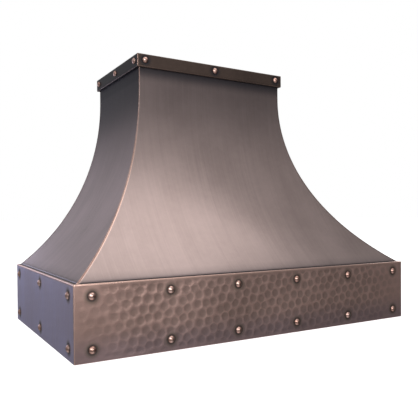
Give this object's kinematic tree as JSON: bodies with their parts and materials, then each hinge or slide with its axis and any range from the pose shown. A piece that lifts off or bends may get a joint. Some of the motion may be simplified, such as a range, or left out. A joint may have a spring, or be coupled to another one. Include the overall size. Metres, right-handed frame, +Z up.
{
  "type": "island range hood",
  "caption": "Swept copper island range hood with a hammered riveted apron, banded crown, lift-out baffle filters, lamps, twin blower and damped top outlet.",
  "frame": {"origin": "middle of the rectangle that the apron and its rivets fill in plan, on the bottom rim", "axes": "+X to the right seen from the front, +Y to the back, +Z up; the swept front faces -Y"},
  "size_m": [1.2342, 0.739, 0.9144],
  "materials": {
    "copper_body": "brushed aged copper, satin, grey-brown patina",
    "copper_hammered": "hammered aged copper, dark in the hollows and bright on the rims",
    "copper_crown": "aged copper, dark patina with worn edges",
    "copper_rivet": "polished copper domes",
    "frame_steel": "black primed steel",
    "zinc_fastener": "zinc plated",
    "liner_steel": "brushed stainless sheet",
    "filter_steel": "bright stainless baffles",
    "lamp_metal": "satin spun aluminium",
    "lamp_glass": "frosted lens",
    "knob_metal": "turned stainless",
    "switch_plastic": "black moulded",
    "galvanised_sheet": "galvanised, faint spangle",
    "wheel_metal": "stamped aluminium",
    "shaft_steel": "ground bar",
    "motor_paint": "black enamel"
  },
  "bodies": {
    "hood": {"apron_back": "copper_hammered", "apron_front": "copper_hammered", "apron_left": "copper_hammered", "apron_right": "copper_hammered", "apron_rivets": "copper_rivet", "blower_case": "galvanised_sheet", "blower_motor": "motor_paint", "blower_scroll_left": "galvanised_sheet", "blower_scroll_right": "galvanised_sheet", "body_back_panel": "copper_body", "body_front_panel": "copper_body", "body_left_panel": "copper_body", "body_right_panel": "copper_body", "ceiling_plate": "frame_steel", "control_plate": "liner_steel", "control_switches": "switch_plastic", "corner_posts": "frame_steel", "cross_rails": "frame_steel", "crown_back": "copper_crown", "crown_front": "copper_crown", "crown_left": "copper_crown", "crown_right": "copper_crown", "crown_rivets": "copper_rivet", "damper_collar": "galvanised_sheet", "damper_rod": "shaft_steel", "duct_pipe": "galvanised_sheet", "duct_transition": "galvanised_sheet", "frame_bolts": "zinc_fastener", "frame_nuts": "zinc_fastener", "junction_box": "galvanised_sheet", "junction_lid": "galvanised_sheet", "lamp_cans": "lamp_metal", "lamp_lenses": "lamp_glass", "liner_pan": "liner_steel", "liner_screws": "zinc_fastener", "lower_ring": "frame_steel", "motor_bracket": "galvanised_sheet", "plenum_box": "liner_steel", "rivet_burrs": "copper_rivet", "tray_runners": "liner_steel", "upper_ring": "frame_steel", "uprights": "frame_steel"},
    "blower_rotor": {"blower_shaft": "shaft_steel", "blower_wheel_left": "wheel_metal", "blower_wheel_right": "wheel_metal"},
    "damper_front": {"damper_flap_front": "galvanised_sheet"},
    "damper_back": {"damper_flap_back": "galvanised_sheet"},
    "filter_left": {"filter_left_frame": "filter_steel", "filter_left_baffles": "filter_steel", "filter_left_handle": "filter_steel"},
    "filter_middle": {"filter_middle_frame": "filter_steel", "filter_middle_baffles": "filter_steel", "filter_middle_handle": "filter_steel"},
    "filter_right": {"filter_right_frame": "filter_steel", "filter_right_baffles": "filter_steel", "filter_right_handle": "filter_steel"},
    "drip_tray": {"grease_tray": "liner_steel"},
    "fan_control": {"fan_knob": "knob_metal"},
    "light_control": {"light_knob": "knob_metal"}
  },
  "joints": [
    {"name": "blower_spin", "type": "hinge", "parent": "hood", "child": "blower_rotor", "pos_m": [0, 0.068, 0.2912], "axis": [1, 0, 0], "continuous": true},
    {"name": "damper_front_swing", "type": "hinge", "parent": "hood", "child": "damper_front", "pos_m": [0, 0.154, 0.6012], "axis": [-1, 0, 0], "range_deg": [0, 75]},
    {"name": "damper_back_swing", "type": "hinge", "parent": "hood", "child": "damper_back", "pos_m": [0, 0.154, 0.6012], "axis": [1, 0, 0], "range_deg": [0, 75]},
    {"name": "filter_left_lift", "type": "slide", "parent": "hood", "child": "filter_left", "axis": [0, 0, 1], "range_m": [0, 0.02]},
    {"name": "filter_middle_lift", "type": "slide", "parent": "hood", "child": "filter_middle", "axis": [0, 0, 1], "range_m": [0, 0.02]},
    {"name": "filter_right_lift", "type": "slide", "parent": "hood", "child": "filter_right", "axis": [0, 0, 1], "range_m": [0, 0.02]},
    {"name": "tray_slide", "type": "slide", "parent": "hood", "child": "drip_tray", "axis": [0, -1, 0], "range_m": [0, 0.045]},
    {"name": "fan_turn", "type": "hinge", "parent": "hood", "child": "fan_control", "pos_m": [-0.045, -0.267, 0.036], "axis": [0, 0, -1], "range_deg": [0, 270]},
    {"name": "light_turn", "type": "hinge", "parent": "hood", "child": "light_control", "pos_m": [0.045, -0.267, 0.036], "axis": [0, 0, -1], "range_deg": [0, 270]}
  ]
}
